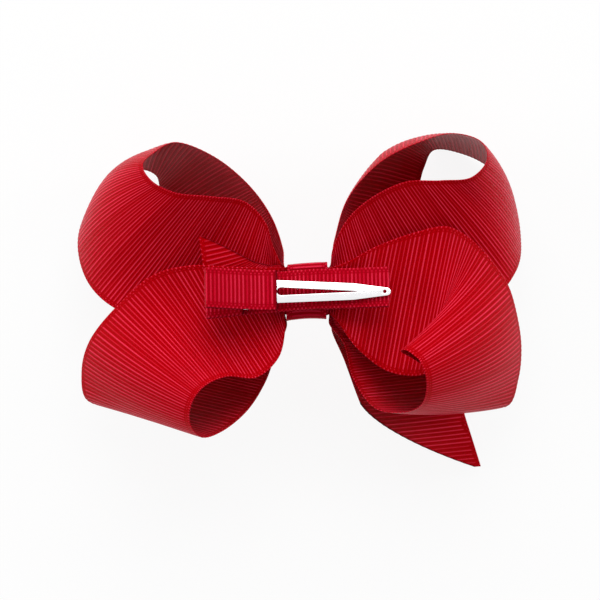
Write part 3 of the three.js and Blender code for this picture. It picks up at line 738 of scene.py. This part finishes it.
# Bright nickel on stamped spring steel: smooth and mirror-like, faintly drawn along its length.
def nickelMaterial(name, colour, roughness, drawn):
    material, tree = newMaterial(name)
    space = addNode(tree, "ShaderNodeTexCoord").outputs["Object"]
    stretched = addNode(tree, "ShaderNodeMapping", {"Vector": space, "Scale": drawn})
    lines = addNode(tree, "ShaderNodeTexNoise", {
        "Vector": stretched.outputs["Vector"], "Scale": 1.0, "Detail": 4.0,
    })
    smears = addNode(tree, "ShaderNodeTexNoise", {"Vector": space, "Scale": 260.0, "Detail": 3.0})
    rough = addNode(tree, "ShaderNodeMapRange", {
        "Value": smears.outputs["Fac"], "To Min": roughness * 0.7, "To Max": roughness * 1.5,
    })
    bump = addNode(tree, "ShaderNodeBump", {
        "Height": lines.outputs["Fac"], "Strength": 0.12, "Distance": 0.00002,
    })
    tone = addNode(tree, "ShaderNodeMix", {
        "Factor": lines.outputs["Fac"], "A": linearColour(colour[0]), "B": linearColour(colour[1]),
    }, data_type="RGBA")
    shader = addNode(tree, "ShaderNodeBsdfPrincipled", {
        "Base Color": tone.outputs[2], "Metallic": 1.0, "Roughness": rough.outputs["Result"],
        "Normal": bump.outputs["Normal"],
    })
    addNode(tree, "ShaderNodeOutputMaterial", {"Surface": shader.outputs["BSDF"]})
    return material


nickel = nickelMaterial(
    "bright nickel-plated steel, stamped", ("#e6e6e9", "#f4f4f4"), 0.16, (300, 4000, 4000))
springSteel = nickelMaterial(
    "drawn spring steel wire", ("#b9b9bd", "#d6d6d8"), 0.28, (900, 900, 900))


def steelPiece(name, shapes, node, body):
    points, faces = joinShapes(shapes)
    piece = meshObject(name, place(clipSpace(points[:, 0], points[:, 1], points[:, 2])), faces, nickel)
    piece.data.set_sharp_from_angle(angle=math.radians(38))
    shading = piece.modifiers.new("even shading", "WEIGHTED_NORMAL")
    shading.keep_sharp = True
    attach(piece, body)
    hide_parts(node)
    return piece


# The prong and its lever are one strip. Its flat pattern runs from the lever's end to the tip, with
# a slot that narrows to a point and a small hole. It is crowned across, slopes down to the tip, and
# the lever turns up behind the hinge.
rootHalf, tipHalf = prong["root"] / 2, prong["tip"] / 2
tipCentre = tipX - tipHalf
waistX, waistHalf = tipCentre * 0.72, rootHalf * 0.72
leverEndX = clip["bendAt"] - leverRun
under = np.concatenate([
    line((leverEndX + 0.8, -rootHalf), (2, -rootHalf), 20),
    line((2, -rootHalf), (waistX, -waistHalf), 18),
    line((waistX, -waistHalf), (tipCentre, -tipHalf), 8),
    circle(tipCentre, 0, tipHalf, 8, -quarter, 0),
])
rim = np.concatenate([
    under, [(tipX, 0)], (under * (1, -1))[::-1],
    [(leverEndX, rootHalf - 0.8), (leverEndX, 0.8 - rootHalf)],
])
slotHalf = prong["slotWidth"] / 2
slotUnder = line((prong["slotStart"] + slotHalf, -slotHalf), (prong["slotEnd"] - 0.05, -0.05), 18)
slotRim = np.concatenate([
    circle(prong["slotStart"] + slotHalf, 0, slotHalf, 10, quarter, 3 * quarter),
    slotUnder, [(prong["slotEnd"], 0)], (slotUnder * (1, -1))[::-1],
])[::-1]
bendSlices = clip["bendAt"] + np.linspace(-1.0, 1.0, 11)
points, faces = stampedPlate(
    [rim, slotRim, circle(prong["holeAt"], 0, prong["holeRadius"])], prong["steel"], 0.11,
    np.concatenate([np.linspace(leverEndX + 1, -3.2, 6), bendSlices, np.linspace(0.3, tipX - 1.3, 24)]),
    (-2.3, -1.6, -0.8, 0, 0.8, 1.6, 2.3),
)
crown = prong["crown"] * (points[:, 1] / rootHalf) ** 2
before = np.clip(clip["bendAt"] - points[:, 0], 0, None)
turned = smoothStep((before + 0.8) / 1.6) * rise
beyond = np.clip(points[:, 0], clip["bendAt"], None)
bentX = beyond - before * math.cos(rise) - points[:, 2] * -np.sin(turned)
bentZ = clip["rootZ"] + prong["steel"] / 2 - beyond * math.tan(slope) + before * math.sin(rise)
bentZ = bentZ + points[:, 2] * np.cos(turned) - crown - 0.05
prongShape = np.stack([bentX, points[:, 1], bentZ], axis=1), faces
prongEars = [hingeEar(side * (prong["earOut"] - jaw["earSteel"] / 2), clip["rootZ"] + 0.3,
                      clip["pinZ"] - jaw["earTop"], jaw["earSteel"]) for side in (-1, 1)]
steelPiece("prong-and-lever", [prongShape, *prongEars], "clip_prong", "prong")

# The jaw is a flat strip with clipped corners, narrower towards its tip, and two ears for the pin.
halfJaw, jawEnd = jaw["width"] / 2, tipX - 1
jawRim = np.array([(-clip["lever"], 1 - halfJaw), (1 - clip["lever"], -halfJaw), (4, -halfJaw),
                   (jawEnd - 5, -2.7), (jawEnd, -1.2), (jawEnd, 1.2), (jawEnd - 5, 2.7), (4, halfJaw),
                   (1 - clip["lever"], halfJaw), (-clip["lever"], halfJaw - 1)])
points, faces = stampedPlate([jawRim], jaw["steel"], 0.08)
jawShape = points + (0, 0, jawMiddle), faces
jawEars = [hingeEar(side * (jaw["earOut"] - jaw["earSteel"] / 2), jawMiddle,
                    clip["pinZ"] + jaw["earTop"], jaw["earSteel"]) for side in (-1, 1)]
steelPiece("jaw-plate", [jawShape, *jawEars], "clip_jaw", "bow")


# A round rod along a path: circles of the given radii, each square to the path, set out from the
# path by the cross product of its direction and a fixed one. Its ends are closed flat.
def rod(path, radii, fixed, sides):
    path = np.asarray(path, float)
    ahead = unit(np.gradient(path, axis=0))
    first = unit(np.cross(ahead, np.asarray(fixed, float)))
    second = np.cross(ahead, first)
    angle = np.linspace(0, 2 * np.pi, sides, endpoint=False)
    around = first[:, None] * np.cos(angle)[None, :, None] + second[:, None] * np.sin(angle)[None, :, None]
    radii = np.broadcast_to(radii, len(path))[:, None, None]
    points = path[:, None] + around * radii
    index = np.arange(len(path) * sides).reshape(len(path), sides)
    nextAlong = np.roll(index, -1, axis=1)
    quads = np.stack([index[:-1], nextAlong[:-1], nextAlong[1:], index[1:]], axis=-1).reshape(-1, 4)
    return points.reshape(-1, 3), [quads, index[:1, ::-1].copy(), index[-1:].copy()]


# The pin has a low domed head outside each of the jaw's ears.
pin = {"radius": 0.6, "head": 0.95, "length": 8.8, "headLength": 0.5}
dome = np.linspace(0, quarter, 8)
neck = pin["length"] / 2 - pin["headLength"]
endY = np.concatenate([[0, neck - 0.02, neck], neck + pin["headLength"] * np.sin(dome)])
endR = np.concatenate([
    [pin["radius"], pin["radius"], pin["head"] - 0.05], pin["head"] * np.cos(dome) + 0.02,
])
pinY = np.concatenate([-endY[:0:-1], endY])
pinPath = np.stack([np.zeros(len(pinY)), pinY, np.full(len(pinY), clip["pinZ"])], axis=1)
pinRadii = np.concatenate([endR[:0:-1], endR])
steelPiece("hinge-pin", [rod(pinPath, pinRadii, (1, 0, 0), 28)], "clip_pin", "bow")

# The torsion spring: a leg along the jaw, three and a half turns round the pin, and a leg under the
# lever that rises with it.
spring = {"radius": 1.2, "wire": 0.28, "turns": 3.5, "pitch": 0.9, "leg": 5.5}
sr, span = spring["radius"], spring["turns"] * spring["pitch"]
legRun = np.linspace(0, spring["leg"], 16, endpoint=False)
turning = np.linspace(0, spring["turns"] * 2 * np.pi, 180)
outRun = np.linspace(0, spring["leg"], 17)[1:]
springPath = np.concatenate([
    np.stack([legRun - spring["leg"], np.full(16, -span / 2), np.full(16, clip["pinZ"] - sr)], axis=1),
    np.stack([sr * np.sin(turning), span * (turning / turning[-1] - 0.5),
              clip["pinZ"] - sr * np.cos(turning)], axis=1),
    np.stack([-outRun, np.full(16, span / 2),
              clip["pinZ"] + sr + outRun ** 2 / spring["leg"] * math.tan(rise) * 0.6], axis=1),
])
points, faces = rod(springPath, spring["wire"], (0, 1, 0), 12)
springPiece = meshObject("torsion-spring", place(clipSpace(*points.T)), faces, springSteel)
tuple(place(clipSpace(0, 0, clip["pinZ"] - sr)))
tuple(place(clipSpace(0, 0, clip["pinZ"] + sr)))
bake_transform(springPiece)
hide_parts("clip_spring")
print("clip stamped, pinned and sprung")

# Two plies of thread twisted together and wound twice round the waist under the wrap.
thread = {
    "halfY": 6.4,              # mm, from the waist's middle
    "halfZ": 3.5,
    "corner": 1.0,
    "turns": 1.9,
    "pitch": 0.9,
    "ply": 0.11,               # mm, a ply's radius
    "plyOut": 0.1,             # mm from the thread's middle to a ply's
    "twist": 1.1,              # mm along for one turn of the plies
}
ty, tz, tc = thread["halfY"], thread["halfZ"], thread["corner"]
hoop = np.concatenate([
    arc(ty - tc, tc - tz, tc, -quarter, 0, 12), arc(ty - tc, tz - tc, tc, 0, quarter, 12),
    arc(tc - ty, tz - tc, tc, quarter, 2 * quarter, 12),
    arc(tc - ty, tc - tz, tc, 2 * quarter, 3 * quarter, 12),
    [(ty - tc, -tz)],
])
hoopRun = np.concatenate([[0], np.cumsum(np.linalg.norm(np.diff(hoop, axis=0), axis=1))])
wound = np.linspace(0, thread["turns"] * hoopRun[-1], 420)
wrapped = wound % hoopRun[-1]
core = np.stack([(wound / hoopRun[-1] - thread["turns"] / 2) * thread["pitch"],
                 np.interp(wrapped, hoopRun, hoop[:, 0]), np.interp(wrapped, hoopRun, hoop[:, 1])], axis=1)
coreAhead = unit(np.gradient(core, axis=0))
coreOut = unit(np.cross(coreAhead, (1.0, 0, 0)))
coreSide = np.cross(coreAhead, coreOut)
twist = (2 * np.pi * wound / thread["twist"])[:, None]
plies = []
for start in (0, np.pi):
    ply = core + thread["plyOut"] * (coreOut * np.cos(twist + start) + coreSide * np.sin(twist + start))
    plies.append(rod(ply, thread["ply"], (1, 0, 0), 8))

# Spun polyester sewing thread: matt and slightly hairy.
threadLook = {"dark": "#6f030c", "light": "#a50d1e"}
sewingThread, tree = newMaterial("spun polyester sewing thread, red")
space = addNode(tree, "ShaderNodeTexCoord").outputs["Object"]
hairs = addNode(tree, "ShaderNodeTexNoise", {"Vector": space, "Scale": 5000.0, "Detail": 3.0})
tone = addNode(tree, "ShaderNodeMix", {
    "Factor": hairs.outputs["Fac"],
    "A": linearColour(threadLook["dark"]), "B": linearColour(threadLook["light"]),
}, data_type="RGBA")
bump = addNode(tree, "ShaderNodeBump", {
    "Height": hairs.outputs["Fac"], "Strength": 0.4, "Distance": 0.00003,
})
shader = addNode(tree, "ShaderNodeBsdfPrincipled", {
    "Base Color": tone.outputs[2], "Roughness": 0.7, "IOR": 1.5, "Normal": bump.outputs["Normal"],
})
addNode(tree, "ShaderNodeOutputMaterial", {"Surface": shader.outputs["BSDF"]})
points, faces = joinShapes(plies)
threadPiece = meshObject("waist-thread", place(points), faces, sewingThread)
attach(threadPiece, "bow")
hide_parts("gathering_thread")

# Hot-melt glue: cloudy, waxy, pressed out between the wrap and the jaw's lining.
gluePad = {"halfX": 1.9, "halfY": 3.4, "offset": 0.5, "squeeze": 3.0}
hotGlue, tree = newMaterial("hot-melt glue, set cloudy white")
space = addNode(tree, "ShaderNodeTexCoord").outputs["Object"]
clouds = addNode(tree, "ShaderNodeTexNoise", {"Vector": space, "Scale": 900.0, "Detail": 3.0})
tone = addNode(tree, "ShaderNodeMix", {
    "Factor": clouds.outputs["Fac"], "A": linearColour("#ddd6cc"), "B": linearColour("#f3efe8"),
}, data_type="RGBA")
bump = addNode(tree, "ShaderNodeBump", {
    "Height": clouds.outputs["Fac"], "Strength": 0.3, "Distance": 0.00008,
})
shader = addNode(tree, "ShaderNodeBsdfPrincipled", {
    "Base Color": tone.outputs[2], "Roughness": 0.34, "IOR": 1.48, "Normal": bump.outputs["Normal"],
    "Subsurface Weight": 0.35, "Subsurface Scale": 0.0008,
})
addNode(tree, "ShaderNodeOutputMaterial", {"Surface": shader.outputs["BSDF"]})


# A flattened blob: a ball's two angles, its outline wavy, thicker where the clip stands further off
# the wrap, with one lobe pressed out past the lining's edge.
def gluePiece(name, node, x, lobeAt):
    polar = np.linspace(0.02, np.pi - 0.02, 26)[:, None]
    turn = np.linspace(0, 2 * np.pi, 64, endpoint=False)[None, :]
    wavy = 1 + 0.06 * np.sin(3 * turn + x) + 0.05 * np.sin(5 * turn + 2)
    lobe = gluePad["squeeze"] * np.exp(-((turn - lobeAt) / 0.2) ** 2)
    blobX = x + gluePad["halfX"] * wavy * np.sin(polar) * np.cos(turn)
    blobY = gluePad["offset"] + (gluePad["halfY"] * wavy * np.sin(turn) + lobe) * np.sin(polar)
    halfZ = 0.85 - 0.10 * blobY
    blobZ = -0.12 - halfZ + halfZ * np.cos(polar)
    index = np.arange(blobY.size).reshape(blobY.shape)
    after = np.roll(index, -1, axis=1)
    quads = np.stack([index[:-1], index[1:], after[1:], after[:-1]], axis=-1).reshape(-1, 4)
    points = clipSpace(blobX, blobY, blobZ).reshape(-1, 3)
    piece = meshObject(name, place(points), [quads, index[:1].copy(), index[-1:, ::-1].copy()], hotGlue)
    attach(piece, "bow")
    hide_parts(node)
    return piece


gluePiece("glue-left", "glue_pad_left", -clip["at"][0] - 2.3, 1.02)
gluePiece("glue-right", "glue_pad_right", -clip["at"][0] + 2.3, 1.94)
print("thread wound and glue set")

# ---- camera, light and floor ----
view = {
    "distance": 1.7,           # m above the waist
    "frameWidth": 0.150,       # m across at the waist
    "aim": (-0.00175, -0.00225),    # m from the waist's middle
}
camera = bpy.data.cameras.new("camera")
camera.sensor_width = 36
camera.lens = 36 * view["distance"] / view["frameWidth"]
camera.clip_end = 20
eye = bpy.data.objects.new("camera", camera)
eye.location = waist + (*view["aim"], view["distance"])
bpy.context.scene.collection.objects.link(eye)
bpy.context.scene.camera = eye

lamps = [
    {"name": "key", "from": (0.0, 0.75, 0.65), "size": 0.9, "power": 8.0},
    {"name": "fill", "from": (-0.85, 0.1, 0.4), "size": 0.6, "power": 3.3},
    {"name": "side", "from": (0.85, 0.25, 0.35), "size": 0.4, "power": 2.3},
]
for lamp in lamps:
    light = bpy.data.lights.new(lamp["name"], "AREA")
    light.size = lamp["size"]
    light.energy = lamp["power"]
    holder = bpy.data.objects.new(lamp["name"], light)
    holder.location = lamp["from"]
    towards = waist - np.array(lamp["from"])
    pitchAngle = math.acos(-towards[2] / np.linalg.norm(towards))
    holder.rotation_euler = (pitchAngle, 0, math.atan2(towards[1], towards[0]) - math.pi / 2)
    bpy.context.scene.collection.objects.link(holder)


# 1 for rays that the eye sees directly, by mirror or through glass, and 0 for those that only light.
def seenRays(tree):
    path = addNode(tree, "ShaderNodeLightPath").outputs
    seen = addNode(tree, "ShaderNodeMath", {
        0: path["Is Camera Ray"], 1: path["Is Glossy Ray"],
    }, operation="MAXIMUM")
    seen = addNode(tree, "ShaderNodeMath", {
        0: seen.outputs[0], 1: path["Is Transmission Ray"],
    }, operation="MAXIMUM")
    return seen.outputs[0]


world = bpy.data.worlds.new("white studio")
world.use_nodes = True
world.node_tree.nodes.clear()
strength = addNode(world.node_tree, "ShaderNodeMapRange", {
    "Value": seenRays(world.node_tree), "To Min": 0.36, "To Max": 1.0,
})
sky = addNode(world.node_tree, "ShaderNodeBackground", {"Strength": strength.outputs["Result"]})
sky.inputs["Color"].default_value = (1, 1, 1, 1)
addNode(world.node_tree, "ShaderNodeOutputWorld", {"Surface": sky.outputs["Background"]})
bpy.context.scene.world = world

# Matt white board. It shows mostly as plain white, and keeps part of the bow's shadow.
board, tree = newMaterial("matt white card")
grain = addNode(tree, "ShaderNodeTexNoise", {
    "Vector": addNode(tree, "ShaderNodeTexCoord").outputs["Object"], "Scale": 900.0, "Detail": 2.0,
})
tint = addNode(tree, "ShaderNodeMix", {
    "Factor": grain.outputs["Fac"], "A": linearColour("#f6f6f6"), "B": linearColour("#fbfbfb"),
}, data_type="RGBA")
paper = addNode(tree, "ShaderNodeBsdfDiffuse", {"Color": tint.outputs[2], "Roughness": 0.6})
glow = addNode(tree, "ShaderNodeEmission", {"Color": (1, 1, 1, 1), "Strength": 1.0})
share = addNode(tree, "ShaderNodeMath", {0: seenRays(tree), 1: 0.9}, operation="MULTIPLY")
both = addNode(tree, "ShaderNodeMixShader", {0: share.outputs[0], 1: paper.outputs[0], 2: glow.outputs[0]})
addNode(tree, "ShaderNodeOutputMaterial", {"Surface": both.outputs[0]})
floorHalf = 3.0                # m
floorRim = floorHalf * np.array([(-1, -1, 0), (1, -1, 0), (1, 1, 0), (-1, 1, 0)])
floor = meshObject("floor", floorRim, [np.array([[0, 1, 2, 3]])], board, smooth=False)
bpy.context.scene.view_settings.view_transform = "Standard"
print("camera, lamps and floor placed")
